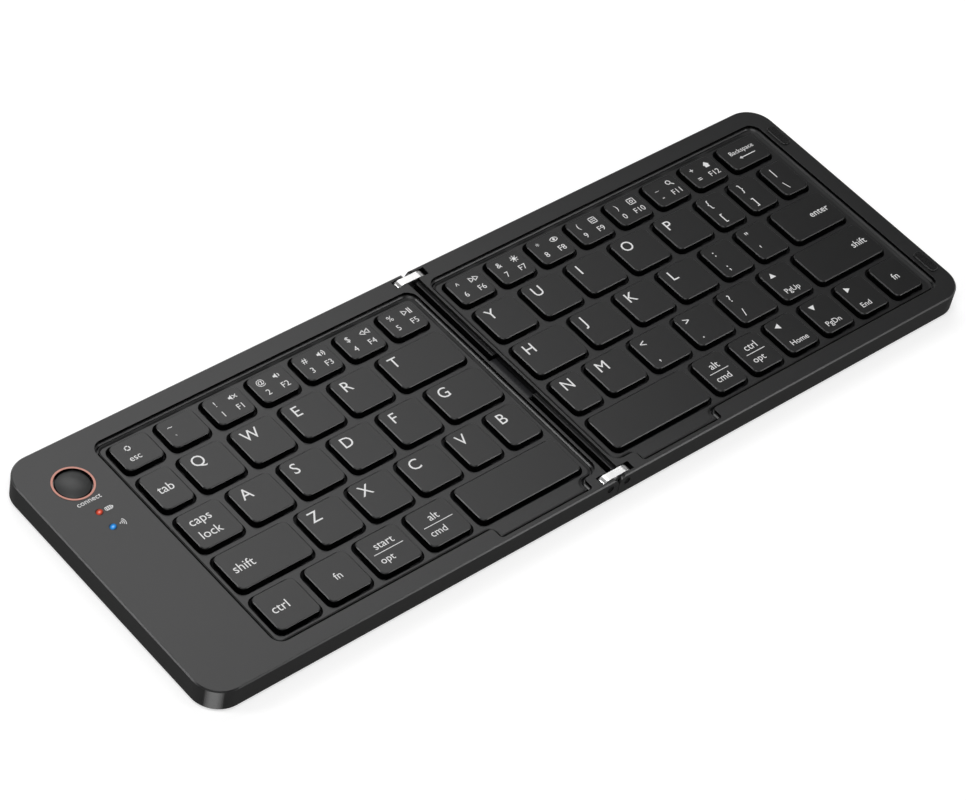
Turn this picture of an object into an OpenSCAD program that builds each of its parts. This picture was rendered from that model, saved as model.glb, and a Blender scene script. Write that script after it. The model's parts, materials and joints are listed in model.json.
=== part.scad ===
// Folding keyboard: two thin halves joined by a pair of two-pivot links, with a control panel at one end.
// Millimetres, +Z up. The keyboard lies open on its feet: X runs along it, Y from front to rear.
// The origin is the centre of its footprint, on the surface that the feet stand on.

/* [Body] */
// length of each half, from the centre line to its outer end
half_length = 142; // [136:1:160]
// size from front to rear
body_depth = 94.6; // [94:0.2:104]
// thickness of a half, without its feet
body_thick = 7.5; // [7.4:0.1:9]
// plan radius of the outer corners
corner_r = 8.5; // [5:0.5:11]
// bevel round the top edge
top_bevel = 0.4; // [0.2:0.1:0.6]
// height that the rubber feet stand out
foot_height = 0.6; // [0.4:0.1:1.2]

/* [Key well] */
// depth from the frame's top to the key bed
well_depth = 1.65; // [1.5:0.05:1.9]
// frame width in front of the key wells
front_border = 5.6; // [5.6:0.1:8]
// frame width behind the key wells
rear_border = 6.2; // [6.2:0.1:8]
// width of the control panel, left of the left well
panel_width = 25.4; // [25.2:0.1:30]
// frame width right of the right well
end_border = 6.1; // [6:0.1:9]
// height of the first step down from the frame's top
ledge_drop = 1.1; // [0.9:0.05:1.2]
// width of the ledge on that step
ledge = 0.7; // [0.5:0.05:0.8]
// bevel along the ledge's inner edge
ledge_bevel = 0.45; // [0.2:0.05:0.45]
// width of the groove between the ledge and the key bed
groove = 0.4; // [0.3:0.05:0.5]
// plan radius of the wells' corners
well_r = 3.6; // [2.6:0.1:4]

/* [Keys] */
// width of a letter cap
cap_width = 14.2; // [13.6:0.1:14.4]
// size of a cap from front to rear
cap_depth = 13.4; // [12.5:0.1:13.6]
// the same in the number row
number_depth = 10.3; // [9.5:0.1:10.6]
// gap between two caps side by side
key_gap = 3.3; // [3:0.1:3.6]
// distance between two rows
row_pitch = 16.5; // [16.4:0.1:16.6]
// corner radius of a cap
cap_r = 1.8; // [1.5:0.1:2.2]
// depth of the cap tops below the frame's top
cap_drop = 0.05; // [0:0.05:0.4]
// gap round a cap in the key bed
cap_clear = 0.9; // [0.6:0.05:1]
// distance that a key goes down
key_travel = 1.3; // [0.8:0.1:1.4]

/* [Hinge] */
// distance of each pivot from the centre line
pivot_offset = 3.1; // [3:0.05:3.2]
// depth of the pivots below the frame's top
pivot_drop = 2.8; // [2.7:0.05:2.85]
// radius of the hinge pins
pin_r = 1.2; // [1:0.05:1.3]
// thickness of a link along the pins
link_width = 2.35; // [2:0.05:2.4]
// distance of a link from the front or rear face
link_inset = 1.35; // [1.3:0.05:1.5]

/* [Connect button] */
// radius of the button
button_r = 5; // [4.5:0.1:5.2]
// outer radius of the coloured ring
ring_r = 6.06; // [5.9:0.01:6.5]
// distance that the button goes down
button_travel = 0.8; // [0.4:0.1:0.9]
// height of the button's dome over the frame
dome_height = 0.5; // [0.3:0.05:0.55]
// depth of the dome's edge below the frame's top
dome_sink = 0.4; // [0:0.05:0.5]
// width of the groove between the button and the ring
ring_gap = 0.45; // [0.2:0.05:0.6]

/* [Hidden] */
$fn = 64;
eps = 0.01;

// levels, counted from the underside of a half
top_z = body_thick;
bed_top = top_z - well_depth;
rim_top = top_z - ledge_drop;
flange_top = bed_top - 0.35;
flange_thick = 0.65;
bed_low = flange_top - flange_thick;
cover_thick = 1;
plate_thick = 0.5;
sheet_thick = 0.3;
deck_thick = 1.2;
pivot_z = top_z - pivot_drop;
cap_top = top_z - cap_drop;
cap_skirt = 0.8;
cap_height = cap_top - bed_top + cap_skirt;
sheet_top = cover_thick + plate_thick + sheet_thick;
dome_rise = key_travel + 2.25;
dome_top = sheet_top + dome_rise;

// walls and clearances
wall = 1.6;
recess_wall = 1;
collar = 1;
rim_land = 0.1;
cap_skin = 0.9;
cap_bevel = 0.25;
stem_r = 1.7;
notch_r = 1.1;
bottom_bevel = 0.5;

// hinge
seam = 0.3;
end_r = pivot_offset - seam / 2;
link_r = pivot_drop - 0.05;
slot_r = link_r + 0.2;
slot_side = 0.3;
well_in = pivot_offset - 0.25;
rim_x = well_in - 0.75;
gap_x = 1;
step_z = top_z - 1.3;
step_y = body_depth / 2 - link_inset - link_width - slot_side;
pin_length = 5.2;
block_x = 11;

// ribbon cable between the halves
ribbon_width = 17;
ribbon_thick = 0.3;
ribbon_half = 2.85;

// thumb notches in front of the space bars, as distances from the centre line
left_notch = [8.9, 42.6];
right_notch = [10.2, 40.9];
notch_edge = 1.55;
notch_y = -body_depth / 2 + notch_edge;
notch_lap = 4;

// wells, as distances from the centre line and positions along Y
left_well_out = half_length - panel_width;
right_well_out = half_length - end_border;
well_front = -body_depth / 2 + front_border;
well_rear = body_depth / 2 - rear_border;

// key blocks, as positions along X, and the front edge of the front row
left_keys = [-(left_well_out - 3.55), -(well_in + 3.6)];
right_keys = [well_in + 3.9, right_well_out - 4.1];
keys_front = well_front + 3.3;

// closure pads, feet and panel positions
pad_size = [3.1, 8.6];
pad_at = [half_length - 3.35, 32.35];
pad_height = 0.5;
pad_pocket = 0.4;
foot_r = 4;
foot_pocket = 0.3;
button_at = [-(half_length - 13.76), 32.2];
charge_light_at = [-(half_length - 13.7), 20.3];
pairing_light_at = [-(half_length - 13.7), 14.2];
light_r = 0.7;

// inside the control panel
board_at = [-(half_length - 14.2), 28.1];
board_size = [16, 34, 0.8];
board_z = 1.8;
board_top = board_z + board_size[2];
battery_at = [-(half_length - 13), -16.5];
battery_size = [20, 48, 3.8];
socket_size = [9, 7.6, 3.2];

// Each row runs from left to right, rear row first. An entry is [node, width], and width 0 takes the rest.
wide = cap_width;
left_rows = [
    [for (i = [0:6]) ["left_number_keys", 12.4]],
    [["left_side_keys", 10.15], ["key_q", wide], ["key_w", wide], ["key_e", wide], ["key_r", wide],
        ["key_t", 0]],
    [["left_side_keys", wide], ["key_a", wide], ["key_s", wide], ["key_d", wide], ["key_f", wide],
        ["key_g", 0]],
    [["left_side_keys", 24.85], ["key_z", wide], ["key_x", wide], ["key_c", wide], ["key_v", 11.5],
        ["key_b", 0]],
    [for (i = [0:4]) i < 4 ? ["left_side_keys", wide] : ["left_space_bar", 0]]
];
right_rows = [
    [for (i = [0:7]) ["right_number_keys", i < 7 ? 12.35 : 0]],
    [["key_y", 14.35], ["key_u", 14.35], ["key_i", 14.35], ["key_o", 14.35], ["key_p", 14.35],
        ["punctuation_keys", 10.25], ["punctuation_keys", 10.25], ["punctuation_keys", 0]],
    [["key_h", 18.9], ["key_j", wide], ["key_k", wide], ["key_l", wide],
        ["punctuation_keys", 11.4], ["punctuation_keys", 11.4], ["enter_key", 0]],
    [["key_n", 10], ["key_m", wide], ["punctuation_keys", wide], ["punctuation_keys", wide],
        ["punctuation_keys", wide], ["arrow_keys", 11.4], ["right_side_keys", 0]],
    [["right_space_bar", 37], ["right_side_keys", 11.4], ["right_side_keys", 11.4],
        ["arrow_keys", 11.4], ["arrow_keys", 11.4], ["arrow_keys", 11.4], ["right_side_keys", 0]]
];

letters = "abcdefghijklmnopqrstuvwxyz";
letter_nodes = [for (c = letters) str("key_", c)];
other_keys = ["left_number_keys", "left_side_keys", "left_space_bar", "right_number_keys",
    "punctuation_keys", "arrow_keys", "right_side_keys", "right_space_bar", "enter_key"];

dark = [0.2, 0.2, 0.21];
steel = [0.75, 0.76, 0.78];
rubber = [0.12, 0.12, 0.12];

// ---- layout of the keys ----

function sum_widths(row, n) = n <= 0 ? 0 : row[n - 1][1] + sum_widths(row, n - 1);
function rest_width(row, block) =
    block[1] - block[0] - sum_widths(row, len(row)) - (len(row) - 1) * key_gap;
function key_width(row, i, block) = row[i][1] > 0 ? row[i][1] : rest_width(row, block);
function key_x(row, i, block) =
    block[0] + sum_widths(row, i) + i * key_gap + key_width(row, i, block) / 2;
function row_depth(r) = r == 0 ? number_depth : cap_depth;
function row_y(r) = keys_front + (4 - r) * row_pitch + row_depth(r) / 2;

// runs its child once for each key of the rows, or for those of one node, with the key's size in $key
module each_key(rows, block, only = "") {
    for (r = [0:4])
        for (i = [0:len(rows[r]) - 1])
            if (only == "" || rows[r][i][0] == only) {
                $key = [key_width(rows[r], i, block), row_depth(r)];
                translate([key_x(rows[r], i, block), row_y(r), 0]) children();
            }
}

// ---- basic shapes ----

module rounded_square(w, d, r) {
    square([w - 2 * r, d], center = true);
    square([w, d - 2 * r], center = true);
    for (x = [-1, 1])
        for (y = [-1, 1])
            translate([x * (w / 2 - r), y * (d / 2 - r)]) circle(r = r);
}

module rounded_plate(w, d, r, h) {
    linear_extrude(height = h) rounded_square(w, d, r);
}

// a rounded plate whose top edge is bevelled by c, all round
module bevelled_plate(w, d, r, h, c) {
    rounded_plate(w, d, r, h - c);
    translate([0, 0, h - c]) {
        rotate([90, 0, 0]) linear_extrude(height = d - 2 * r, center = true) bevel_outline(w, c);
        rotate([90, 0, 90]) linear_extrude(height = w - 2 * r, center = true) bevel_outline(d, c);
        for (x = [-1, 1])
            for (y = [-1, 1])
                translate([x * (w / 2 - r), y * (d / 2 - r), 0])
                    cylinder(r1 = r, r2 = r - c, h = c);
    }
}

module bevel_outline(w, c) {
    polygon([[-w / 2, 0], [w / 2, 0], [w / 2 - c, c], [-w / 2 + c, c]]);
}

// a plan rectangle of a half between two distances from the centre line, grown by g
module plan_rect(near, far, low, high, r, g = 0) {
    translate([-(near + far) / 2, (low + high) / 2])
        rounded_square(far - near + 2 * g, high - low + 2 * g, r + g);
}

// ---- the housing, drawn for the left half; the right half is its mirror image ----

// a plate in the form of the key well and its thumb notch; lean is how much narrower its foot is
module well_plate(far, notch, inset, h, lean = 0) {
    well = [well_front + inset, well_rear - inset];
    thumb = [notch_y + inset, well_front + notch_lap - inset];
    leaning_plate([well_in + inset, far - inset], well, max(well_r - inset, lean + 0.1), h, lean);
    leaning_plate([notch[0] + inset, notch[1] - inset], thumb, max(notch_r - inset, lean + 0.1), h, lean);
    // corners where the notch meets the well, rounded about two upright axes in the frame
    r = notch_r + inset;
    reach = r + lean + 0.5;
    for (side = [0, 1])
        translate([-notch[side] + (1 - 2 * side) * notch_r, well_front - notch_r, 0])
            mirror([side, 0, 0]) difference() {
                translate([-reach, 0, 0]) cube([reach, reach, h]);
                translate([0, 0, -1]) cylinder(r = r, h = h + 2);
                if (lean > 0)
                    translate([0, 0, -lean]) cylinder(r1 = r + 2 * lean, r2 = r, h = 2 * lean);
            }
}

// a rounded plate between two distances from the centre line and two positions along Y
module leaning_plate(x, y, r, h, lean) {
    w = x[1] - x[0];
    d = y[1] - y[0];
    translate([-(x[0] + x[1]) / 2, (y[0] + y[1]) / 2, 0])
        if (lean > 0)
            translate([0, 0, h]) mirror([0, 0, 1]) bevelled_plate(w, d, r, h, lean);
        else
            rounded_plate(w, d, r, h);
}

// side view of a half: a quarter round about its pivot over a straight lower edge
module end_profile() {
    translate([-half_length - 1, 0]) square([half_length + 1 - pivot_offset, top_z]);
    intersection() {
        translate([-pivot_offset, pivot_z]) circle(r = end_r, $fn = 96);
        translate([-pivot_offset, 0]) square([pivot_offset, top_z]);
    }
    translate([-pivot_offset, 0]) square([pivot_offset - seam / 2, pivot_z]);
}

// the whole outer form, bevelled above and below
module half_form() {
    over = 10;
    length = half_length + over;
    intersection() {
        translate([(over - half_length) / 2, 0, 0]) {
            translate([0, 0, bottom_bevel])
                bevelled_plate(length, body_depth, corner_r, top_z - bottom_bevel, top_bevel);
            translate([0, 0, 2 * bottom_bevel]) mirror([0, 0, 1])
                bevelled_plate(length, body_depth, corner_r, 2 * bottom_bevel, bottom_bevel);
        }
        rotate([90, 0, 0]) linear_extrude(height = body_depth + 2, center = true) end_profile();
    }
}

// slot that a link turns in, seen from the front
module slot_profile() {
    translate([-pivot_offset, pivot_z]) circle(r = slot_r);
    translate([-pivot_offset - slot_r, pivot_z]) square([slot_r + pivot_offset + 1, pivot_drop + 1]);
    translate([-pivot_offset, pivot_z - slot_r]) square([pivot_offset + 1, slot_r + eps]);
}

module at_both_hinges() {
    for (s = [-1, 1])
        scale([1, s, 1]) translate([0, -body_depth / 2, 0]) children();
}

module top_frame(far, notch) {
    difference() {
        union() {
            difference() {
                half_form();
                translate([0, 0, -1]) linear_extrude(height = cover_thick + 1) cover_outline();
                translate([0, 0, -1]) linear_extrude(height = top_z - deck_thick + 1) hollow_outline();
            }
            // collar that carries the well's wall down to the key bed
            translate([0, 0, flange_top])
                linear_extrude(height = top_z - deck_thick - flange_top + 0.2)
                    collar_outline(far, notch);
        }
        // the well: a bevelled ledge, then a narrower opening
        translate([0, 0, rim_top]) well_plate(far, notch, 0, ledge_drop + 1);
        translate([0, 0, rim_top - ledge_bevel])
            well_plate(far, notch, ledge - ledge_bevel, ledge_bevel + eps, ledge_bevel);
        translate([0, 0, -1]) well_plate(far, notch, ledge, top_z + 1);
        // channel between the halves: the frame's rim stands back, over a rounded lower edge
        translate([-rim_x, -step_y, step_z]) cube([rim_x + 1, 2 * step_y, 3]);
        translate([-gap_x, -step_y, pivot_z - 1.5]) cube([gap_x + 1, 2 * step_y, 6]);
        // passage of the ribbon cable
        translate([-rim_x, -ribbon_width / 2 - 0.4, pivot_z - 0.4])
            cube([rim_x + 1, ribbon_width + 0.8, 3]);
        translate([-ribbon_half - 0.1, -ribbon_width / 2 - 0.4, pivot_z - 0.4])
            cube([1, ribbon_width + 0.8, 0.8]);
        // link slots and pin bores
        at_both_hinges() {
            translate([0, link_inset + link_width + slot_side, 0]) rotate([90, 0, 0])
                linear_extrude(height = link_width + 2 * slot_side) slot_profile();
            translate([-pivot_offset, pin_length + 0.15, pivot_z]) rotate([90, 0, 0])
                cylinder(r = pin_r, h = pin_length + 2);
        }
    }
}

// the part of the inside between the two hinge blocks, in plan, shrunk by g
module inner_rect(g = 0) {
    translate([-block_x - corner_r, well_front + g])
        square([block_x + corner_r - well_in - g, well_rear - well_front - 2 * g]);
}

// recess for the bottom cover in plan, shrunk by g
module cover_outline(g = 0) {
    translate([-(half_length - recess_wall + block_x) / 2, 0])
        rounded_square(half_length - recess_wall - block_x - 2 * g,
            body_depth - 2 * recess_wall - 2 * g, corner_r - recess_wall);
    inner_rect(g);
}

// inside of the housing in plan, shrunk by g; the hinge blocks in the two inner corners stay solid
module hollow_outline(g = 0) {
    translate([-(half_length - wall + block_x) / 2, 0])
        rounded_square(half_length - wall - block_x - 2 * g, body_depth - 2 * wall - 2 * g,
            corner_r - wall);
    inner_rect(g);
}

// foot of the well's wall, just wider than the well on the sides away from the hinge
module collar_outline(far, notch) {
    intersection() {
        union() {
            plan_rect(well_in, far, well_front, well_rear, well_r, collar);
            plan_rect(notch[0], notch[1], notch_y, well_front + notch_lap, notch_r, 0.5);
        }
        translate([-half_length, -body_depth / 2 + 1]) square([half_length - rim_x, body_depth - 2]);
    }
}

// key bed: a flange under the well's wall, a tray with a sloping rim and one opening for each key
module key_bed(far, notch, rows, block, flip) {
    inset = ledge + groove;
    slope = rim_top - bed_top;
    difference() {
        union() {
            translate([0, 0, bed_low]) linear_extrude(height = flange_thick)
                intersection() {
                    collar_outline(far, notch);
                    hollow_outline(0.1);
                }
            translate([0, 0, bed_low]) well_plate(far, notch, inset, rim_top - bed_low);
        }
        translate([0, 0, bed_top]) well_plate(far, notch, inset + rim_land, slope + eps, slope);
        translate([0, 0, bed_low - 1]) mirror([flip, 0, 0]) each_key(rows, block)
            rounded_plate($key[0] + 2 * cap_clear, $key[1] + 2 * cap_clear, cap_r + cap_clear, 4);
    }
}

// bottom cover: a plate let into the frame, with a wall that holds the key bed up
module bottom_cover(far) {
    difference() {
        linear_extrude(height = cover_thick) cover_outline(0.1);
        for (p = foot_places())
            translate([p[0], p[1], -1]) cylinder(r = foot_r, h = 1 + foot_pocket);
    }
    translate([0, 0, cover_thick - eps]) linear_extrude(height = bed_low - cover_thick + eps)
        difference() {
            plan_rect(well_in + 1.2, far, well_front, well_rear, 1.4);
            plan_rect(well_in + 1.2, far, well_front, well_rear, 1.4, -1);
        }
}

function foot_places() = [for (x = [half_length - 14, 22]) for (y = [-37, 37]) [-x, y]];

// sheets under the keys
module sheet_outline(far) {
    plan_rect(well_in + 2.4, far - 1.2, well_front + 1.2, well_rear - 1.2, 1);
}

module support_plate(far) {
    translate([0, 0, cover_thick]) linear_extrude(height = plate_thick) sheet_outline(far);
}

module dome_sheet(far, rows, block, flip) {
    difference() {
        union() {
            translate([0, 0, sheet_top - sheet_thick])
                linear_extrude(height = sheet_thick) sheet_outline(far);
            translate([0, 0, sheet_top]) mirror([flip, 0, 0]) each_key(rows, block)
                cylinder(r1 = 3.3, r2 = 2, h = dome_rise);
        }
        translate([0, 0, sheet_top - sheet_thick - eps]) mirror([flip, 0, 0]) each_key(rows, block)
            cylinder(r1 = 2.9, r2 = 1.5, h = dome_rise + sheet_thick - 0.5);
    }
}

module feet() {
    for (p = foot_places())
        translate([p[0], p[1], foot_pocket]) mirror([0, 0, 1])
            difference() {
                cylinder(r = foot_r, h = foot_height + foot_pocket);
                translate([0, 0, foot_height + foot_pocket - 0.15])
                    difference() {
                        cylinder(r = foot_r + 1, h = 1);
                        translate([0, 0, -eps]) cylinder(r1 = foot_r + 0.02, r2 = foot_r - 0.2, h = 0.2);
                    }
            }
}

module hinge_pins() {
    at_both_hinges()
        translate([-pivot_offset, pin_length + 0.15, pivot_z]) rotate([90, 0, 0])
            cylinder(r = pin_r, h = pin_length);
}

// ---- links between the halves ----

// one link: round ends about both pivots, flush with the frame's top, in the front pair of slots
module hinge_link() {
    translate([0, link_inset + link_width, pivot_z]) rotate([90, 0, 0])
        linear_extrude(height = link_width)
            difference() {
                union() {
                    square([2 * pivot_offset, 2 * link_r], center = true);
                    for (s = [-1, 1])
                        translate([s * pivot_offset, 0]) circle(r = link_r, $fn = 96);
                }
                for (s = [-1, 1])
                    translate([s * pivot_offset, 0]) circle(r = pin_r + 0.05);
            }
}

module ribbon_cable() {
    translate([-ribbon_half, -ribbon_width / 2, pivot_z - ribbon_thick / 2])
        cube([2 * ribbon_half, ribbon_width, ribbon_thick]);
}

// ---- keys ----

// a hollow cap on a stem that stands on its rubber dome
module key_cap() {
    translate([0, 0, cap_top - cap_height]) difference() {
        bevelled_plate($key[0], $key[1], cap_r, cap_height, cap_bevel);
        translate([0, 0, -1])
            rounded_plate($key[0] - 2 * cap_skin, $key[1] - 2 * cap_skin, cap_r - cap_skin,
                cap_height - cap_skin + 1);
    }
    translate([0, 0, dome_top + 0.02])
        cylinder(r = stem_r, h = cap_top - cap_skin - dome_top + 0.1);
}

module keys_of(name) {
    lift() {
        each_key(left_rows, left_keys, name) key_cap();
        each_key(right_rows, right_keys, name) key_cap();
    }
}

// ---- control panel ----

module connect_ring() {
    translate([button_at[0], button_at[1], 0]) difference() {
        union() {
            translate([0, 0, top_z - deck_thick]) cylinder(r = ring_r, h = deck_thick + 0.1);
            translate([0, 0, top_z - deck_thick - 0.6]) cylinder(r = ring_r + 0.8, h = 0.6);
        }
        translate([0, 0, top_z - 3]) cylinder(r = button_r + 0.1, h = 4);
        translate([0, 0, top_z - 0.8]) cylinder(r = button_r + ring_gap, h = 1);
    }
}

// domed button with a flange under the ring and a stem that works the switch
module connect_button() {
    low = top_z - deck_thick - 1.3;
    rise = dome_height + dome_sink;
    sphere_r = (button_r * button_r + rise * rise) / (2 * rise);
    translate([button_at[0], button_at[1], 0]) {
        intersection() {
            translate([0, 0, low]) cylinder(r = button_r, h = top_z + 1 - low);
            translate([0, 0, top_z + dome_height - sphere_r]) sphere(r = sphere_r, $fn = 200);
        }
        translate([0, 0, low]) cylinder(r = button_r + 0.6, h = 0.6);
        translate([0, 0, board_top + button_travel + 0.3])
            cylinder(r = 0.9, h = low - board_top - button_travel);
    }
}

module light_pipe(at) {
    translate([at[0], at[1], board_top + 0.6]) cylinder(r = light_r, h = top_z - board_top - 0.6);
}

module main_board() {
    translate([board_at[0], board_at[1], board_z])
        rounded_plate(board_size[0], board_size[1], 1, board_size[2]);
    // switch under the button, open for its stem
    difference() {
        translate([button_at[0], button_at[1], board_top + 0.7])
            cube([5.2, 5.2, 1.4], center = true);
        translate([button_at[0], button_at[1], board_top + 0.2]) cylinder(r = 0.95, h = 3);
    }
    // lamps under the two light pipes, and the controller
    for (p = [charge_light_at, pairing_light_at])
        translate([p[0], p[1], board_top + 0.3]) cube([1.6, 1.6, 0.6], center = true);
    translate([board_at[0] + 5, board_at[1] - 8, board_top + 0.5])
        cube([5, 5, 1], center = true);
}

module socket_outline(g) {
    w = socket_size[0] + 2 * g;
    h = socket_size[2] + 2 * g;
    rounded_square(w, h, h / 2 - eps);
}

// charging socket: a metal shell with a tongue, open to the rear
module charge_socket() {
    translate([button_at[0], body_depth / 2 - 0.2, board_top + socket_size[2] / 2])
        rotate([90, 0, 0]) {
            difference() {
                linear_extrude(height = socket_size[1]) socket_outline(0);
                translate([0, 0, -1]) linear_extrude(height = socket_size[1] - 0.6)
                    socket_outline(-0.3);
            }
            translate([-3.4, -0.35, 0.8]) cube([6.8, 0.7, socket_size[1] - 1]);
        }
}

module battery() {
    translate([battery_at[0], battery_at[1], cover_thick])
        bevelled_plate(battery_size[0], battery_size[1], 1.5, battery_size[2], 0.5);
}

// ---- nodes ----

// raises what is drawn from a half's underside to the height of its feet
module lift() {
    translate([0, 0, foot_height]) children();
}

module right() {
    lift() mirror([1, 0, 0]) children();
}

module left_top_frame() {
    color(dark) lift() difference() {
        top_frame(left_well_out, left_notch);
        translate([button_at[0], button_at[1], top_z - 2]) cylinder(r = ring_r, h = 3);
        for (p = [charge_light_at, pairing_light_at])
            translate([p[0], p[1], top_z - 2]) cylinder(r = light_r, h = 3);
        translate([button_at[0], body_depth / 2 + 1, board_top + socket_size[2] / 2])
            rotate([90, 0, 0]) linear_extrude(height = 3) socket_outline(0.15);
    }
}

module left_bottom_cover() {
    color(dark) lift() {
        bottom_cover(left_well_out);
        // posts under the board
        for (x = [-1, 1])
            for (y = [-1, 1])
                translate([board_at[0] + x * 6, board_at[1] + y * 14.5, cover_thick - eps])
                    cylinder(r = 1.3, h = board_z - cover_thick + eps);
    }
}

module left_key_bed() {
    color(dark) lift() key_bed(left_well_out, left_notch, left_rows, left_keys, 0);
}

module left_support_plate() {
    color(steel) lift() support_plate(left_well_out);
}

module left_dome_sheet() {
    color(rubber) lift() dome_sheet(left_well_out, left_rows, left_keys, 0);
}

module left_feet() {
    color(rubber) lift() feet();
}

module left_hinge_pins() {
    color(steel) lift() hinge_pins();
}

module right_top_frame() {
    color(dark) right() difference() {
        top_frame(right_well_out, right_notch);
        for (s = [-1, 1])
            translate([-pad_at[0], s * pad_at[1], top_z - pad_pocket])
                rounded_plate(pad_size[0], pad_size[1], 1.2, 2);
    }
}

module right_bottom_cover() {
    color(dark) right() bottom_cover(right_well_out);
}

module right_key_bed() {
    color(dark) right() key_bed(right_well_out, right_notch, right_rows, right_keys, 1);
}

module right_support_plate() {
    color(steel) right() support_plate(right_well_out);
}

module right_dome_sheet() {
    color(rubber) right() dome_sheet(right_well_out, right_rows, right_keys, 1);
}

module right_feet() {
    color(rubber) right() feet();
}

module right_hinge_pins() {
    color(steel) right() hinge_pins();
}

module closure_pads() {
    color(rubber) lift()
        for (s = [-1, 1])
            translate([pad_at[0], s * pad_at[1], top_z - pad_pocket])
                bevelled_plate(pad_size[0], pad_size[1], 1.2, pad_pocket + pad_height, 0.15);
}

module front_hinge_link() {
    color(steel) lift() translate([0, -body_depth / 2, 0]) hinge_link();
}

module rear_hinge_link() {
    color(steel) lift() mirror([0, 1, 0]) translate([0, -body_depth / 2, 0]) hinge_link();
}

left_top_frame();
left_bottom_cover();
left_key_bed();
left_support_plate();
left_dome_sheet();
left_feet();
left_hinge_pins();
color([0.6, 0.62, 0.65]) lift() battery();
color([0.05, 0.3, 0.15]) lift() main_board();
color(steel) lift() charge_socket();
color([0.85, 0.4, 0.3]) lift() connect_ring();
color([0.1, 0.1, 0.1]) lift() connect_button();
color([0.9, 0.2, 0.1]) lift() light_pipe(charge_light_at);  // charge_light
color([0.1, 0.5, 0.9]) lift() light_pipe(pairing_light_at);  // pairing_light
right_top_frame();
right_bottom_cover();
right_key_bed();
right_support_plate();
right_dome_sheet();
right_feet();
right_hinge_pins();
closure_pads();
rear_hinge_link();
front_hinge_link();
color([0.3, 0.3, 0.3]) lift() ribbon_cable();
for (k = concat(letter_nodes, other_keys))
    color(dark) keys_of(k);
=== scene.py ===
"""Looks of the folding keyboard: materials, key legends, small trim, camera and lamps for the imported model.
Layouts are in millimetres and turned into metres where a mesh or a material is made."""
import json
import math

import bmesh
import bpy
from mathutils import Matrix, Vector


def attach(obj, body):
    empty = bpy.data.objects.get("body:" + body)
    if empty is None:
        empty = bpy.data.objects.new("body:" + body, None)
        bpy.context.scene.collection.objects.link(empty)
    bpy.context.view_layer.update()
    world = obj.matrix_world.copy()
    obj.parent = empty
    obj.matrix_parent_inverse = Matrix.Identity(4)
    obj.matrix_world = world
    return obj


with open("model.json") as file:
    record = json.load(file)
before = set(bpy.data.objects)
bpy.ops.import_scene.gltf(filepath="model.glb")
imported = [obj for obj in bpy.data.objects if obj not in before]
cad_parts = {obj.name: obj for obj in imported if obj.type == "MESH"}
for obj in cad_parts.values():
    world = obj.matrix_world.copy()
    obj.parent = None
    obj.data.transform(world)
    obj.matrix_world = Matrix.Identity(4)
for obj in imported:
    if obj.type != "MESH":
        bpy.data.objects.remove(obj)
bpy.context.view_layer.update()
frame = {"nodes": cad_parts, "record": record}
nodes = frame["nodes"]
MM = 0.001

# levels of the CAD model, in millimetres over the surface it stands on
FRAME_TOP = 8.1
CAP_TOP = 8.05
UNDERSIDE = 0.6


# ---- node helpers ----

def new_material(name):
    material = bpy.data.materials.new(name)
    material.use_nodes = True
    tree = material.node_tree
    shader = next(n for n in tree.nodes if n.type == "BSDF_PRINCIPLED")
    return material, tree, shader


def preset(node, values):
    """Puts constants on the node's sockets."""
    for socket, value in values.items():
        node.inputs[socket].default_value = value
    return node


def add(tree, kind, **settings):
    node = tree.nodes.new(kind)
    for key, value in settings.items():
        setattr(node, key, value)
    return node


def link(tree, output, socket):
    tree.links.new(output, socket)


def coordinates(tree):
    return add(tree, "ShaderNodeTexCoord").outputs["Object"]


def split(tree, vector):
    """The outputs X, Y and Z of a vector."""
    node = add(tree, "ShaderNodeSeparateXYZ")
    link(tree, vector, node.inputs["Vector"])
    return node.outputs


def maths(tree, operation, *values):
    """A calculation with values that are outputs or numbers."""
    node = add(tree, "ShaderNodeMath", operation=operation)
    for value, socket in zip(values, node.inputs):
        if isinstance(value, (int, float)):
            socket.default_value = value
        else:
            link(tree, value, socket)
    return node.outputs[0]


def vector_maths(tree, operation, vector, constant=(0, 0, 0)):
    node = add(tree, "ShaderNodeVectorMath", operation=operation)
    link(tree, vector, node.inputs[0])
    node.inputs[1].default_value = constant
    return node.outputs["Value" if operation == "LENGTH" else "Vector"]


def noise(tree, where, per_metre, detail=2.0, rough=0.5):
    """Noise with about per_metre spots on each metre."""
    n = preset(add(tree, "ShaderNodeTexNoise"), {"Scale": per_metre, "Detail": detail, "Roughness": rough})
    link(tree, where, n.inputs["Vector"])
    return n.outputs["Fac"]


def spread(tree, value, low, high, from_low=0.3, from_high=0.7):
    """Maps a value, such as that of a noise, to low..high."""
    m = preset(add(tree, "ShaderNodeMapRange"),
               {"From Min": from_low, "From Max": from_high, "To Min": low, "To Max": high})
    link(tree, value, m.inputs["Value"])
    return m.outputs["Result"]


def ramp(tree, value, stops):
    """Colours at places from 0 to 1."""
    node = add(tree, "ShaderNodeValToRGB")
    elements = node.color_ramp.elements
    for place, _ in stops[1:-1]:
        elements.new(place)
    for element, (place, colour) in zip(elements, stops):
        element.position, element.color = place, (*colour, 1)
    link(tree, value, node.inputs["Fac"])
    return node.outputs["Color"]


def two_tone(tree, value, a, b):
    return ramp(tree, value, ((0.3, a), (0.7, b)))


def bump(tree, shader, height, distance, edge=0.0):
    """Bump of the given height in metres, on edges rounded by the radius edge."""
    b = preset(add(tree, "ShaderNodeBump"), {"Distance": distance, "Strength": 1.0})
    link(tree, height, b.inputs["Height"])
    if edge:
        r = preset(add(tree, "ShaderNodeBevel", samples=4), {"Radius": edge})
        link(tree, r.outputs["Normal"], b.inputs["Normal"])
    link(tree, b.outputs["Normal"], shader.inputs["Normal"])


# ---- materials ----

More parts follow.
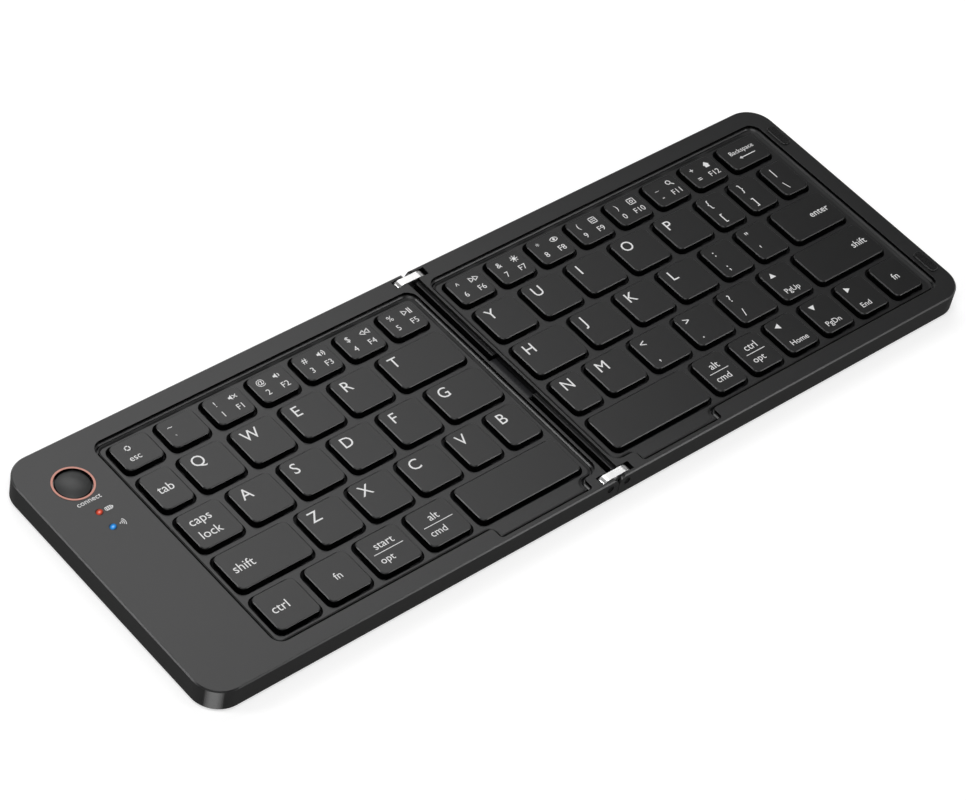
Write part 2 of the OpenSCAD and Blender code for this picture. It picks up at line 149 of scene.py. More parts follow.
# roughness of upright faces inside the outline and on it
INNER_ROUGH, OUTER_ROUGH = 0.15, 1.0
# centres of the outer corners, of 8.5 mm radius, and the distances from them between which the wall begins
OUTLINE = (0.1335, 0.0388, 1.0)
OUTER_WALL = (7.7 * MM, 8.2 * MM)
# product of x and y of the direction from there, which is 0.5 in the middle of a corner
CORNER_MIDDLE = (0.4, 0.495)
POLISH_ROUGH, POLISH_IOR = 0.15, 2.0
# change of the normal's upward share over which an upright face fades out
STEEP_BLEND = 0.3
# height over which the painted shade under a level fades in, in millimetres
LEVEL_BLEND = 0.05
# radius of the edges of plastic pieces, in millimetres
PLASTIC_EDGE = 0.12
# colour clouds on each metre, how far they change the colour, and how far the grain changes the roughness
CLOUDS, CLOUD_TONE, GLOSS_TONE = 45, 0.07, 0.04


def outline_share(tree, where):
    """1 on the outer walls of the halves and 0 further in, from the distance to the rounded outline.
    The second value is 1 only in the middle of the rounded corners, which handling polishes."""
    away = vector_maths(tree, "SUBTRACT", vector_maths(tree, "ABSOLUTE", where), OUTLINE)
    away = vector_maths(tree, "MAXIMUM", away)
    direction = split(tree, vector_maths(tree, "NORMALIZE", away))
    diagonal = maths(tree, "MULTIPLY", direction["X"], direction["Y"])
    return (spread(tree, vector_maths(tree, "LENGTH", away), 0.0, 1.0, *OUTER_WALL),
            spread(tree, diagonal, 0.0, 1.0, *CORNER_MIDDLE))


def upright_share(tree, where, steep, painted_shade_under):
    """1 on upright faces and on all that lies under the level painted_shade_under, 0 on the others: where the
    painted shade goes.
    """
    normal = split(tree, add(tree, "ShaderNodeNewGeometry").outputs["True Normal"])
    share = spread(tree, maths(tree, "ABSOLUTE", normal["Z"]), 1.0, 0.0, steep - STEEP_BLEND, steep)
    if painted_shade_under:
        height = split(tree, where)["Z"]
        below = spread(tree, height, 1.0, 0.0, (painted_shade_under - LEVEL_BLEND) * MM, painted_shade_under * MM)
        share = maths(tree, "MAXIMUM", share, below)
    return share


def plastic(name, colour, rough, grain=0.004, grain_size=0.22, painted_shade=None, dull_outside=False,
            painted_shade_under=None, steep=0.6, side_rough=INNER_ROUGH):
    """Moulded plastic: faint colour clouds, a fine spark-eroded grain and a roughness that varies with both.
    painted_shade is a darker colour painted on the upright faces as shade; these faces are polished by the
    mould, and dull on the outer walls where dull_outside is set. painted_shade_under is the level, in
    millimetres, under which everything has that painted shade colour, and steep is the upward share of the
    normal from which a face no longer counts as upright."""
    material, tree, shader = new_material(name)
    where = coordinates(tree)
    clouds = noise(tree, where, CLOUDS, detail=3)
    fine = noise(tree, where, 1 / (grain_size * MM), detail=2, rough=0.6)
    dark, light = (tuple(c * (1 + change) for c in colour) for change in (-CLOUD_TONE, CLOUD_TONE))
    tone = two_tone(tree, clouds, dark, light)
    gloss = spread(tree, fine, rough - GLOSS_TONE, rough + GLOSS_TONE)
    # painted shade: the upright faces, and all under a level where one is given, take the darker colour as
    # shade
    if painted_shade:
        upright = upright_share(tree, where, steep, painted_shade_under)
        mix = add(tree, "ShaderNodeMix", data_type="RGBA")
        colours = [s for s in mix.inputs if s.type == "RGBA"]
        colours[1].default_value = (*painted_shade, 1)
        link(tree, tone, colours[0])
        link(tree, upright, mix.inputs["Factor"])
        tone = next(s for s in mix.outputs if s.type == "RGBA")
        if dull_outside:
            dull, polish = outline_share(tree, where)
            link(tree, maths(tree, "MULTIPLY", polish, upright), shader.inputs["Coat Weight"])
            preset(shader, {"Coat Roughness": POLISH_ROUGH, "Coat IOR": POLISH_IOR})
        else:
            dull = spread(tree, fine, 0.0, 0.05)
        both = add(tree, "ShaderNodeMix", data_type="FLOAT")
        link(tree, upright, both.inputs["Factor"])
        link(tree, gloss, both.inputs[2])
        link(tree, maths(tree, "MULTIPLY_ADD", dull, OUTER_ROUGH - side_rough, side_rough), both.inputs[3])
        gloss = both.outputs[0]
    link(tree, tone, shader.inputs["Base Color"])
    link(tree, gloss, shader.inputs["Roughness"])
    bump(tree, shader, fine, grain * MM, PLASTIC_EDGE * MM)
    return material


def metal(name, colour, rough, brushed=None, grain=0.002, grain_size=0.2, edge=0.1):
    """Bare or plated metal. brushed stretches the grain along one axis."""
    material, tree, shader = new_material(name)
    where = coordinates(tree)
    if brushed:
        turn = preset(add(tree, "ShaderNodeMapping"), {"Scale": brushed})
        link(tree, where, turn.inputs["Vector"])
        where = turn.outputs["Vector"]
    fine = noise(tree, where, 1 / (grain_size * MM), detail=3)
    link(tree, two_tone(tree, fine, tuple(c * 0.97 for c in colour), colour), shader.inputs["Base Color"])
    preset(shader, {"Metallic": 1.0})
    link(tree, spread(tree, fine, rough * 0.8, rough * 1.25), shader.inputs["Roughness"])
    bump(tree, shader, fine, grain * MM, edge * MM)
    return material


def rubber(name, colour, rough=0.75):
    """Rubber with a fine grain and some dust."""
    material, tree, shader = new_material(name)
    where = coordinates(tree)
    fine = noise(tree, where, 6000, detail=3, rough=0.65)
    dust = noise(tree, where, 600, detail=4)
    link(tree, two_tone(tree, dust, colour, tuple(c * 1.5 for c in colour)), shader.inputs["Base Color"])
    link(tree, spread(tree, fine, rough - 0.1, rough + 0.08), shader.inputs["Roughness"])
    bump(tree, shader, fine, 0.008 * MM, 0.1 * MM)
    return material


# places of the two signal lamps, and the radius of the round window that glows over each
CHARGE_AT, PAIRING_AT = (-128.3, 20.3), (-128.3, 14.2)
GLOW_R = 1.15
GLOW_TURN, GLOW_STRETCH = (0, 0, 0.5), (1.2, 0.8, 1)
# where the whitish core, the pure colour and the dark rim lie, from the middle to the edge
CORE_AT, COLOUR_AT, RIM_AT = 0.08, 0.4, 1.0
CORE_WHITE, RIM_SHARE = 0.25, 0.06
GLOW, SHEEN = 0.3, 0.15


def light_pipe(name, colour, centre):
    """Clear coloured plastic with a lamp under it, which glows brightest in the middle of a slanted core."""
    material, tree, shader = new_material(name)
    where = coordinates(tree)
    turn = preset(add(tree, "ShaderNodeMapping", vector_type="TEXTURE"),
                  {"Location": (centre[0] * MM, centre[1] * MM, FRAME_TOP * MM),
                   "Rotation": GLOW_TURN, "Scale": GLOW_STRETCH})
    link(tree, where, turn.inputs["Vector"])
    away = vector_maths(tree, "LENGTH", turn.outputs["Vector"])
    core = tuple(CORE_WHITE + (1 - CORE_WHITE) * c for c in colour)
    rim = tuple(c * RIM_SHARE for c in colour)
    glow = ramp(tree, spread(tree, away, 0.0, 1.0, 0.0, GLOW_R * MM),
                ((CORE_AT, core), (COLOUR_AT, colour), (RIM_AT, rim)))
    link(tree, glow, shader.inputs["Base Color"])
    link(tree, glow, shader.inputs["Emission Color"])
    preset(shader, {"Emission Strength": GLOW, "Specular IOR Level": SHEEN})
    cloud = noise(tree, where, 1500)
    link(tree, spread(tree, cloud, 0.35, 0.45), shader.inputs["Roughness"])
    bump(tree, shader, cloud, 0.003 * MM, 0.08 * MM)
    return material


def board(name):
    """Green solder mask over copper tracks."""
    material, tree, shader = new_material(name)
    where = coordinates(tree)
    tracks = preset(add(tree, "ShaderNodeTexBrick"), {
        "Scale": 400, "Mortar Size": 0.03, "Color1": (0.012, 0.075, 0.03, 1),
        "Color2": (0.014, 0.09, 0.035, 1), "Mortar": (0.04, 0.16, 0.06, 1)})
    link(tree, where, tracks.inputs["Vector"])
    link(tree, tracks.outputs["Color"], shader.inputs["Base Color"])
    link(tree, spread(tree, noise(tree, where, 3000), 0.25, 0.4), shader.inputs["Roughness"])
    bump(tree, shader, tracks.outputs["Fac"], 0.02 * MM)
    return material


def ink(name, colour):
    """Printed legend: matt, slightly uneven."""
    material, tree, shader = new_material(name)
    fine = noise(tree, coordinates(tree), 5000, detail=3)
    link(tree, two_tone(tree, fine, tuple(c * 0.9 for c in colour), colour), shader.inputs["Base Color"])
    link(tree, spread(tree, fine, 0.5, 0.65), shader.inputs["Roughness"])
    bump(tree, shader, fine, 0.002 * MM)
    return material


DARK = (0.008, 0.008, 0.0084)
CAPS = (0.0022, 0.0022, 0.0024)
# painted shade: near-black colour for the upright faces and recesses of the plastics, darker than their own
# colour
SHADE = (0.001, 0.001, 0.001)
# the button and the ring take the painted shade colour from this far under the frame's top, as shade in the
# recess between them
BUTTON_SHADE_DEPTH, RING_SHADE_DEPTH = 0.32, 0.2
ALONG_X, ALONG_Y, FOIL_ROLL = (0.05, 1, 1), (1, 0.05, 1), (1, 0.2, 1)

# the frame, bed, key, button and ring plastics have painted shade on their upright faces, and the button and
# ring also deep in their recess
frame_plastic = plastic("frame_plastic", DARK, 0.33, painted_shade=SHADE, dull_outside=True)
cover_plastic = plastic("cover_plastic", DARK, 0.5, 0.012, 0.35)
bed_plastic = plastic("bed_plastic", DARK, 0.33, painted_shade=SHADE, steep=0.85, side_rough=0.9)
key_plastic = plastic("key_plastic", CAPS, 0.33, 0.003, 0.18, painted_shade=SHADE)
button_plastic = plastic("button_plastic", (0.028, 0.029, 0.029), 0.4, 0.001, 0.3, painted_shade=SHADE,
                         painted_shade_under=FRAME_TOP - BUTTON_SHADE_DEPTH)
ring_plastic = plastic("ring_plastic", (0.62, 0.27, 0.21), 0.4, 0.003, 0.2, painted_shade=SHADE,
                       painted_shade_under=FRAME_TOP - RING_SHADE_DEPTH)
chrome = metal("hinge_chrome", (0.88, 0.88, 0.875), 0.3, grain=0.0001, grain_size=4, edge=0.05)
pin_steel = metal("pin_steel", (0.002, 0.002, 0.0022), 0.8, ALONG_Y)
plate_steel = metal("plate_steel", (0.6, 0.61, 0.62), 0.3, ALONG_X)
socket_metal = metal("socket_metal", (0.7, 0.7, 0.7), 0.22)
screw_steel = metal("screw_steel", (0.05, 0.05, 0.052), 0.35)
foil = metal("battery_foil", (0.72, 0.73, 0.75), 0.35, FOIL_ROLL, 0.02)
silicone = rubber("silicone", (0.02, 0.02, 0.021), 0.5)
foot_rubber = rubber("foot_rubber", (0.012, 0.012, 0.012))
pad_rubber = rubber("pad_rubber", (0.0012, 0.0012, 0.0013), 0.3)
ribbon_film = plastic("ribbon_film", (0.02, 0.02, 0.022), 0.3, 0.002, 0.4)
red_light = light_pipe("charge_light", (0.6, 0.05, 0.015), CHARGE_AT)
blue_light = light_pipe("pairing_light", (0.01, 0.25, 0.7), PAIRING_AT)
green_board = board("circuit_board")
white_ink = ink("white_ink", (0.85, 0.85, 0.85))

# the first part of a name that fits decides
FINISH = {
    "top_frame": frame_plastic, "bottom_cover": cover_plastic, "key_bed": bed_plastic,
    "support_plate": plate_steel, "dome_sheet": silicone, "_feet": foot_rubber, "hinge_pins": pin_steel,
    "battery": foil, "main_board": green_board, "charge_socket": socket_metal, "connect_ring": ring_plastic,
    "connect_button": button_plastic, "charge_light": red_light, "pairing_light": blue_light,
    "closure_pads": pad_rubber, "hinge_link": chrome, "ribbon_cable": ribbon_film,
    "key": key_plastic, "space_bar": key_plastic,
}
for name, node in nodes.items():
    material = next(m for part, m in FINISH.items() if part in name)
    node.data.materials.clear()
    node.data.materials.append(material)


# ---- layout of the keys, in millimetres ----

# between keys in a row, from row to row, and the width of a letter key
GAP, PITCH, WIDE = 3.3, 16.5, 14.2
# front edge of the row nearest the user, and both ends of the rows
FRONT = -38.4
ROWS_LEFT, ROWS_RIGHT = (-113.05, -6.45), (6.75, 131.8)
NUMBER_DEPTH, DEPTH = 10.3, 13.4
# function numbers of the first keys in the number row
FIRST_LEFT, FIRST_RIGHT = -1, 6

# node (without "key_" for one letter), width (0 takes the rest), legend
LEFT = [
    [("left_number_keys", 12.4, k) for k in ("esc", "`~", "1!", "2@", "3#", "4$", "5%")],
    [("left_side_keys", 10.15, "tab")] + [(c, WIDE, c) for c in "qwer"] + [("t", 0, "t")],
    [("left_side_keys", WIDE, "caps")] + [(c, WIDE, c) for c in "asdf"] + [("g", 0, "g")],
    [("left_side_keys", 24.85, "shift")] + [(c, WIDE, c) for c in "zxc"] + [("v", 11.5, "v"), ("b", 0, "b")],
    [("left_side_keys", WIDE, k) for k in ("ctrl", "fn", "start", "alt")] + [("left_space_bar", 0, "")],
]
RIGHT = [
    [("right_number_keys", 12.35, k) for k in ("6^", "7&", "8*", "9(", "0)", "-_", "=+")]
    + [("right_number_keys", 0, "backspace")],
    [(c, 14.35, c) for c in "yuiop"]
    + [("punctuation_keys", w, k) for w, k in ((10.25, "[{"), (10.25, "]}"), (0, "\\|"))],
    [("h", 18.9, "h")] + [(c, WIDE, c) for c in "jkl"]
    + [("punctuation_keys", 11.4, ";:"), ("punctuation_keys", 11.4, "'\""), ("enter_key", 0, "enter")],
    [("n", 10, "n"), ("m", WIDE, "m")] + [("punctuation_keys", WIDE, k) for k in (",<", ".>", "/?")]
    + [("arrow_keys", 11.4, "up"), ("right_side_keys", 0, "shift_right")],
    [("right_space_bar", 37, "")] + [("right_side_keys", 11.4, k) for k in ("alt_right", "ctrl_right")]
    + [("arrow_keys", 11.4, k) for k in ("left", "down", "right")] + [("right_side_keys", 0, "fn")],
]


def keys():
    """Yields (node, left, right, front, rear, legend, function number or None) for each key."""
    for rows, (start, end), first in ((LEFT, ROWS_LEFT, FIRST_LEFT), (RIGHT, ROWS_RIGHT, FIRST_RIGHT)):
        for r, row in enumerate(rows):
            rest = end - start - sum(w for _, w, _ in row) - GAP * (len(row) - 1)
            x, y = start, FRONT + (len(rows) - 1 - r) * PITCH
            depth = DEPTH if r else NUMBER_DEPTH
            for i, (name, width, what) in enumerate(row):
                w = width or rest
                node = "key_" + name if len(name) == 1 else name
                yield node, x, x + w, y, y + depth, what, None if r else first + i
                x += w + GAP


# ---- flat prints ----

def made(name, bm, body, material):
    """Turns bm into a piece that rides on the body and has the given material."""
    mesh = bpy.data.meshes.new(name)
    bm.to_mesh(mesh)
    bm.free()
    mesh.materials.append(material)
    obj = bpy.data.objects.new(name, mesh)
    bpy.context.scene.collection.objects.link(obj)
    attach(obj, body)


class Print:
    """Flat marks on one level, collected as closed thin plates and made into one piece."""
    SUNK, THICK = 0.01, 0.02    # the plates reach from SUNK under the level to THICK over it
    CAPITAL = 0.729             # height of a capital of the built-in face, at size 1

    def __init__(self, z):
        self.z, self.bm = z, bmesh.new()

    def poly(self, points):
        low, high = ([self.bm.verts.new((x * MM, y * MM, z * MM)) for x, y in points]
                     for z in (self.z - self.SUNK, self.z + self.THICK))
        self.bm.faces.new(high)
        self.bm.faces.new(low[::-1])
        for i in range(len(points)):
            j = (i + 1) % len(points)
            self.bm.faces.new((low[i], low[j], high[j], high[i]))

    def line(self, points, width=0.3, closed=False):
        """A stroke of the given width through the points, as one quad for each stretch."""
        for (ax, ay), (bx, by) in zip(points, points[1:] + (points[:1] if closed else [])):
            length = math.hypot(bx - ax, by - ay)
            ux, uy = (bx - ax) / length * width / 2, (by - ay) / length * width / 2
            self.poly([(ax - ux + uy, ay - uy - ux), (bx + ux + uy, by + uy - ux),
                       (bx + ux - uy, by + uy + ux), (ax - ux - uy, ay - uy + ux)])

    def arc(self, x, y, radius, start, end, width=0.3, steps=12):
        at = [math.radians(start + (end - start) * i / steps) for i in range(steps + 1)]
        ring = [(x + r * math.cos(a), y + r * math.sin(a)) for r, angles in
                ((radius + width / 2, at), (radius - width / 2, at[::-1])) for a in angles]
        for i in range(steps):
            self.poly([ring[i], ring[i + 1], ring[-2 - i], ring[-1 - i]])

    def disc(self, x, y, radius, steps=16):
        at = [2 * math.pi * i / steps for i in range(steps)]
        self.poly([(x + radius * math.cos(a), y + radius * math.sin(a)) for a in at])

    def draw(self, x, y, marks):
        """Marks round x, y, each with the name of a method above, its points and its further values."""
        for kind, points, *values in marks:
            at = [(x + a, y + b) for a, b in points]
            if kind in ("poly", "line"):
                getattr(self, kind)(at, *values)
            else:
                getattr(self, kind)(*at[0], *values)

    def text(self, words, x, y, height, align="CENTER"):
        """Words whose capitals are height tall, on the baseline y."""
        curve = bpy.data.curves.new("words", "FONT")
        curve.body, curve.align_x = words, align
        curve.size = height / self.CAPITAL * MM
        curve.extrude = (self.SUNK + self.THICK) / 2 * MM
        curve.resolution_u = 3
        obj = bpy.data.objects.new("words", curve)
        bpy.context.scene.collection.objects.link(obj)
        bpy.context.view_layer.update()
        mesh = bpy.data.meshes.new_from_object(obj.evaluated_get(bpy.context.evaluated_depsgraph_get()))
        middle = self.z + (self.THICK - self.SUNK) / 2
        mesh.transform(Matrix.Translation((x * MM, y * MM, middle * MM)))
        self.bm.from_mesh(mesh)
        bpy.data.objects.remove(obj)
        bpy.data.curves.remove(curve)
        bpy.data.meshes.remove(mesh)

    def piece(self, name, body, material, slot):
        bmesh.ops.recalc_face_normals(self.bm, faces=self.bm.faces)
        made(name, self.bm, body, material)


# ---- signs, about 2.6 mm wide ----

STROKE, HEAVY, FINE, THIN = 0.28, 0.35, 0.25, 0.2


def box(half_width, half_height, stroke=STROKE):
    x, y = half_width, half_height
    return ("line", [(-x, -y), (x, -y), (x, y), (-x, y)], stroke, True)


def triangle(x, way):
    """Outline of a triangle that points to the right for way 1 and to the left for -1."""
    return ("line", [(x - 0.75 * way, -0.9), (x - 0.75 * way, 0.9), (x + 0.75 * way, 0)], STROKE, True)


def pause_bar(x):
    return ("line", [(x, -0.9), (x, 0.9)], HEAVY)


def sound(radius):
    return ("arc", [(-0.2, 0)], radius, -50, 50, STROKE)


def ray(angle):
    c, s = math.cos(angle), math.sin(angle)
    return ("line", [(0.85 * c, 0.85 * s), (1.2 * c, 1.2 * s)], FINE)


SPEAKER = ("poly", [(-1.4, -0.35), (-0.9, -0.35), (-0.25, -0.95), (-0.25, 0.95), (-0.9, 0.35), (-1.4, 0.35)])
# generic signs over F1 to F12
FUNCTIONS = [
    [SPEAKER, ("line", [(0.2, -0.5), (1.2, 0.5)], STROKE), ("line", [(0.2, 0.5), (1.2, -0.5)], STROKE)],
    [SPEAKER, sound(0.7)],
    [SPEAKER, sound(0.7), sound(1.3)],
    [triangle(-0.8, -1), triangle(0.8, -1)],
    [triangle(-0.7, 1), pause_bar(0.7), pause_bar(1.35)],
    [triangle(-0.8, 1), triangle(0.8, 1)],
    [("disc", [(0, 0)], 0.6)] + [ray(math.radians(45 * i)) for i in range(8)],
    [("disc", [(0, 0)], 0.45), ("arc", [(0, -1.0)], 1.75, 40, 140, STROKE),
     ("arc", [(0, 1.0)], 1.75, 220, 320, STROKE)],
    [box(1.1, 1.1)] + [("line", [(-0.6, y), (0.6, y)], FINE) for y in (0.35, -0.35)],
    [box(1.2, 1.1), ("arc", [(0, 0)], 0.5, 0, 360, FINE)],
    [("arc", [(-0.2, 0.2)], 0.75, 0, 360, 0.3, 18), ("line", [(0.35, -0.35), (1.1, -1.1)], HEAVY)],
    [("poly", [(-1.2, -0.1), (0, 1.2), (1.2, -0.1)]),
     ("poly", [(-0.8, -1.1), (0.8, -1.1), (0.8, -0.1), (-0.8, -0.1)])],
]
ARROWS = {"up": ((-1, -0.8), (1, -0.8), (0, 0.9)), "down": ((-1, 0.8), (0, -0.9), (1, 0.8)),
          "left": ((0.8, -1), (0.8, 1), (-0.9, 0)), "right": ((-0.8, -1), (0.9, 0), (-0.8, 1))}
BATTERY_SIGN = [
    ("line", [(-1.3, -0.55), (0.8, -0.55), (0.8, 0.55), (-1.3, 0.55)], THIN, True),
    *(("line", [(x, -0.3), (x, 0.3)]) for x in (-0.85, -0.25, 0.35)),
    ("poly", [(0.9, -0.25), (1.2, -0.25), (1.2, 0.25), (0.9, 0.25)]),
]
WAVE_SIGN = [("disc", [(-0.7, 0)], 0.2, 10)]
WAVE_SIGN += [("arc", [(-0.7, 0)], radius, -45, 45, THIN, 8) for radius in (0.6, 1.1, 1.6)]


def arrow(way, scale):
    return ("poly", [(x * scale, y * scale) for x, y in ARROWS[way]])


# ---- legends ----

# heights of the capitals
LETTER, PAIR, WORD, SIDE_WORD, NUMBER, SMALL = 3.9, 2.9, 3.0, 2.5, 2.1, 1.75
UPPER, LOWER, ESC, MOVE = 2.6, 2.4, 2.15, 2.0
# from a key's side to a legend that starts there
MARGIN = 2.2
# middles of the two columns on a key of the number row
NUMBER_X, FUNCTION_X = 3.2, 9.1
NAVIGATION = {"up": "PgUp", "down": "PgDn", "left": "Home", "right": "End"}
STACKED = {"start": ("start", "opt"), "alt": ("alt", "cmd"), "alt_right": ("alt", "cmd"),
           "ctrl_right": ("ctrl", "opt")}


def number_legend(p, x0, x1, y0, y1, what, function):
    """A sign over the digit and, from function 1 on, a sign over the function's name."""
    middle = (x0 + x1) / 2
    if what == "esc":
        p.draw(x0 + 4.6, y1 - 3.1, [box(0.7, 0.7, HEAVY)])
        p.text("esc", x0 + 4.6, y0 + 2.6, ESC)
    elif what == "backspace":
        p.text("Backspace", middle, y0 + 5.7, SMALL)
        p.line([(middle - 2.2, y0 + 3.7), (middle + 3.4, y0 + 3.7)])
        p.draw(middle - 2.5, y0 + 3.7, [arrow("left", 0.6)])
    else:
        p.text(what[0], x0 + NUMBER_X, y0 + 2.3, NUMBER)
        p.text(what[1], x0 + NUMBER_X, y0 + 6.4, NUMBER)
        if function > 0:
            p.text("F%d" % function, x0 + FUNCTION_X, y0 + 2.3, NUMBER)
            p.draw(x0 + FUNCTION_X, y0 + 7.2, FUNCTIONS[function - 1])


def legend(p, x0, x1, y0, y1, what):
    """The legend of a key in the four other rows."""
    left, middle, level = x0 + MARGIN, (x0 + x1) / 2, (y0 + y1) / 2
    if len(what) == 1:
        p.text(what.upper(), left + 0.15, y1 - 5.4, LETTER, "LEFT")
    elif what in NAVIGATION:
        p.draw(x0 + 3.4, y1 - 3.0, [arrow(what, 1.1)])
        p.text(NAVIGATION[what], left, y0 + 2.3, MOVE, "LEFT")
    elif what == "fn":
        p.text("fn", middle, level - 1.1, SIDE_WORD)
    elif len(what) == 2:
        p.text(what[1], left + 1.0, y1 - 4.6, PAIR)
        p.text(what[0], left + 1.0, y0 + 2.4, PAIR)
    elif what == "caps":
        p.text("caps", left, y1 - 5.2, WORD, "LEFT")
        p.text("lock", left, y0 + 3.0, WORD, "LEFT")
    elif what in STACKED:
        upper, lower = STACKED[what]
        p.text(upper, middle, level + 1.3, UPPER)
        p.line([(left, level), (x1 - MARGIN, level)], 0.22)
        p.text(lower, left + 0.1, level - 3.6, LOWER, "LEFT")
    elif what in ("enter", "shift_right"):
        p.text(what.split("_")[0], x1 - MARGIN, level - 1.1, SIDE_WORD, "RIGHT")
    else:
        p.text(what, left, level - 1.3, WORD, "LEFT")


body_of_node = {n: b for b, ns in frame["record"]["behaviour"]["bodies"].items() for n in ns}
prints = {}
for node, *edges, what, function in keys():
    if what:
        p = prints.setdefault(node, Print(CAP_TOP))
        if function is None:
            legend(p, *edges, what)
        else:
            number_legend(p, *edges, what, function)
for node, p in prints.items():
    p.piece(node + "_legend", body_of_node[node], white_ink, "key_caps")

# word and signs of the control panel
CONNECT_AT, BATTERY_AT, WAVES_AT = (-128.25, 24.4), (-125.1, 20.2), (-125.2, 14.2)
WINDOW_SIDES = 32
panel = Print(FRAME_TOP)
panel.text("connect", *CONNECT_AT, SMALL)
panel.draw(*BATTERY_AT, BATTERY_SIGN)
panel.draw(*WAVES_AT, WAVE_SIGN)
panel.piece("panel_print", "left_half", white_ink, "frame_plastic")
for name, place, material in (("charge", CHARGE_AT, red_light), ("pairing", PAIRING_AT, blue_light)):
    window = Print(FRAME_TOP)
    window.disc(*place, GLOW_R, WINDOW_SIDES)
    window.piece(name + "_window", "left_half", material, name + "_light")


# ---- small trim ----

SCREW_SIDES = 32
# radius and height over the underside, from the sunk edge to the head
SCREW_PROFILE = ((1.5, 0.1), (1.5, -0.08), (1.3, -0.14))
# reach and half width of the cross recess, the height of its floor and how much smaller that is
CROSS_ARM, CROSS_HALF = 0.85, 0.2
CROSS_DEEP, CROSS_NARROWS = 0.08, 0.8
# places on the right half, mirrored on the left one
SCREWS = ((136, 41), (136, -41), (75, 41), (75, -41), (16, 0))


def screws(name, body, places):
    """Countersunk cross-head screws in the bottom cover, seen from below."""
    bm = bmesh.new()
    for x, y in places:
        rings = [[bm.verts.new(((x + radius * math.cos(a)) * MM, (y + radius * math.sin(a)) * MM,
                                (UNDERSIDE + z) * MM))
                  for a in (2 * math.pi * i / SCREW_SIDES for i in range(SCREW_SIDES))]
                 for radius, z in SCREW_PROFILE]
        # the cross recess is an inner outline, sunk into the head
        cross = []
        for q in range(4):
            c, s = math.cos(q * math.pi / 2), math.sin(q * math.pi / 2)
            for u, v in ((CROSS_ARM, -CROSS_HALF), (CROSS_ARM, CROSS_HALF), (CROSS_HALF, CROSS_HALF)):
                cross.append((u * c - v * s, u * s + v * c))
        top, deep = ([bm.verts.new(((x + u * share) * MM, (y + v * share) * MM, (UNDERSIDE + z) * MM))
                      for u, v in cross]
                     for share, z in ((1, SCREW_PROFILE[-1][1]), (CROSS_NARROWS, CROSS_DEEP)))
        for a, b in (*zip(rings, rings[1:]), (top, deep)):
            for i in range(len(a)):
                j = (i + 1) % len(a)
                bm.faces.new((a[i], a[j], b[j], b[i]))
        bm.faces.new(deep)
        head = set(rings[-1] + top)
        bmesh.ops.triangle_fill(bm, edges=[e for e in bm.edges if head.issuperset(e.verts)], use_beauty=True)
    bmesh.ops.recalc_face_normals(bm, faces=bm.faces)
    made(name, bm, body, screw_steel)


for side, name in ((-1, "left"), (1, "right")):
    screws(name + "_cover_screws", name + "_half", [(side * x, y) for x, y in SCREWS])


# ---- camera, at the photograph's place ----

CAMERA_AT = (-0.5240245, -0.436618, 0.689436)
# the picture's directions to the right, up and back to the camera
CAMERA_AXES = (
    Vector((0.75072196, -0.64230678, 0.15446209)),
    Vector((0.38819168, 0.6180986, 0.68356517)),
    Vector((-0.53453134, -0.45320649, 0.71335834)))
SENSOR_WIDTH, FOCAL_LENGTH = 36, 127.235

camera = bpy.data.objects.new("camera", bpy.data.cameras.new("camera"))
camera.data.sensor_fit = "HORIZONTAL"
camera.data.sensor_width = SENSOR_WIDTH
camera.data.lens = FOCAL_LENGTH
camera.data.clip_start = 0.01
camera.matrix_world = Matrix.Translation(CAMERA_AT) @ Matrix(CAMERA_AXES).transposed().to_4x4()
bpy.context.scene.collection.objects.link(camera)
bpy.context.scene.camera = camera


# ---- floor, world and lamps, in metres ----

# the radius up to which the floor is flat, the radius of its upward curve and the height of its wall
FLAT, CURVE, WALL_TOP = 3.0, 0.6, 1.1
FLOOR_SIDES, FLOOR_TONE = 64, 0.6
# the floor's glow near the keyboard and far off, and the distances between which it changes
NEAR_LIFT, FAR_LIFT, LIFT_RANGE = 0.55, 1.0, (0.4, 1.6)
WORLD_STRENGTH = 0.055
# name, place, size, radiance, point that it faces
LAMPS = (
    # mirrored in the tops of the left half, and ends at the middle, so that the sheen fades to the right
    ("rear_key", (0.52, 1.2, 1.3), (0.9, 1.6), 2.5, (0.52, 1.2, 0)),
    ("top_fill", (-0.5, -0.4, 1.4), (1.2, 1.2), 3.1, (0, 0, 0)),
    # these two show only in edges bevelled by 45 degrees to the left or to the front
    ("left_edges", (-1.16, 0.68, 0.8), (0.4, 0.4), 11.0, (0, 0, 0)),
    ("front_edges", (0.8, -1.11, 0.68), (0.4, 0.4), 7.0, (0, 0, 0)),
)


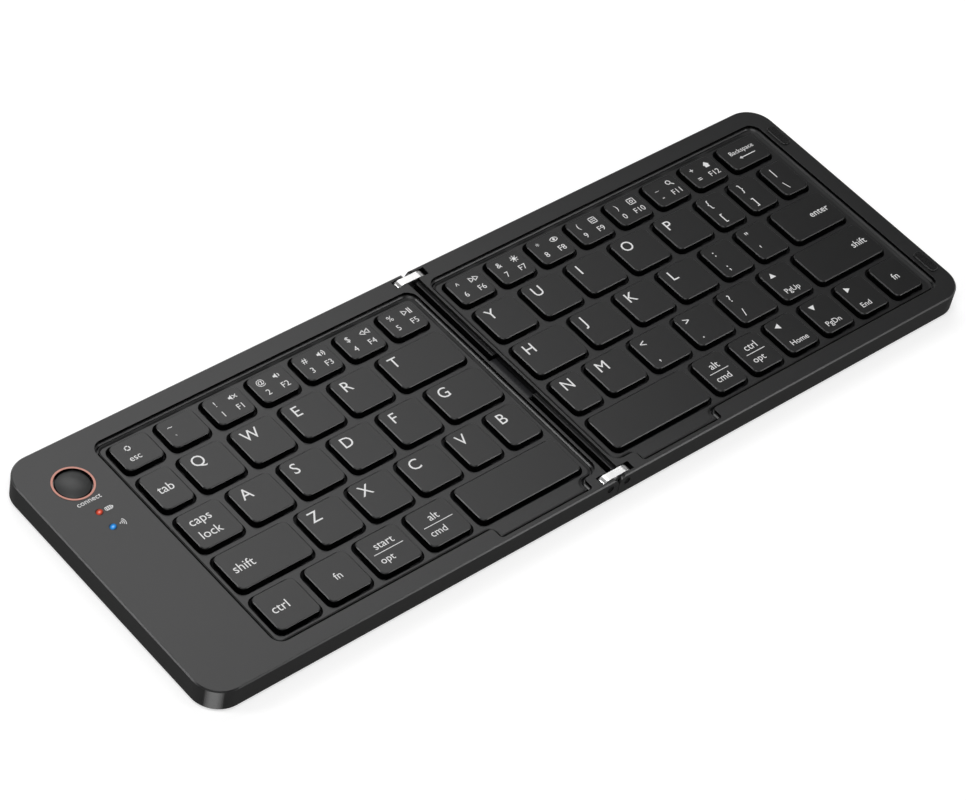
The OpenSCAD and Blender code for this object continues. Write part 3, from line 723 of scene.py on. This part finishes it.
def floor():
    """A round floor that turns up into a low wall, white also where the lamps hardly reach."""
    bm = bmesh.new()
    profile = [(0.001, 0.0), (0.5, 0.0), (1.5, 0.0), (FLAT, 0.0)]
    for degrees in range(9, 91, 9):
        a = math.radians(degrees)
        profile.append((FLAT + CURVE * math.sin(a), CURVE - CURVE * math.cos(a)))
    profile.append((FLAT + CURVE, WALL_TOP))
    at = [2 * math.pi * i / FLOOR_SIDES for i in range(FLOOR_SIDES)]
    rings = [[bm.verts.new((r * math.cos(a), r * math.sin(a), z)) for a in at] for r, z in profile]
    for low, high in zip(rings, rings[1:]):
        for i in range(FLOOR_SIDES):
            j = (i + 1) % FLOOR_SIDES
            bm.faces.new((low[i], high[i], high[j], low[j]))
    bm.faces.new(rings[0])
    bmesh.ops.recalc_face_normals(bm, faces=bm.faces)
    if bm.faces[0].normal.z < 0:
        bmesh.ops.reverse_faces(bm, faces=bm.faces)
    mesh = bpy.data.meshes.new("floor")
    bm.to_mesh(mesh)
    bm.free()
    material, tree, shader = new_material("floor")
    preset(shader, {"Roughness": 0.9, "Specular IOR Level": 0.0, "Emission Color": (1, 1, 1, 1),
                    "Base Color": (FLOOR_TONE, FLOOR_TONE, FLOOR_TONE, 1)})
    path = add(tree, "ShaderNodeLightPath").outputs
    seen = maths(tree, "MAXIMUM", path["Is Camera Ray"], path["Is Glossy Ray"])
    seen = maths(tree, "MAXIMUM", seen, path["Is Transmission Ray"])
    away = vector_maths(tree, "LENGTH", coordinates(tree))
    lift = maths(tree, "MULTIPLY", seen, spread(tree, away, NEAR_LIFT, FAR_LIFT, *LIFT_RANGE))
    link(tree, lift, shader.inputs["Emission Strength"])
    mesh.materials.append(material)
    obj = bpy.data.objects.new("floor", mesh)
    bpy.context.scene.collection.objects.link(obj)


def softbox(name, place, size, radiance, aim):
    """A soft rectangular lamp that shows as the given radiance in a mirror."""
    data = bpy.data.lights.new(name, "AREA")
    data.shape, data.size, data.size_y = "RECTANGLE", *size
    data.energy = radiance * math.pi * size[0] * size[1]
    obj = bpy.data.objects.new(name, data)
    obj.location = place
    obj.rotation_euler = (Vector(aim) - Vector(place)).to_track_quat("-Z", "Y").to_euler()
    bpy.context.scene.collection.objects.link(obj)


floor()
world = bpy.data.worlds.new("world")
world.use_nodes = True
preset(world.node_tree.nodes["Background"], {"Color": (1, 1, 1, 1), "Strength": WORLD_STRENGTH})
bpy.context.scene.world = world
for lamp in LAMPS:
    softbox(*lamp)

bpy.context.scene.view_settings.view_transform = "Standard"
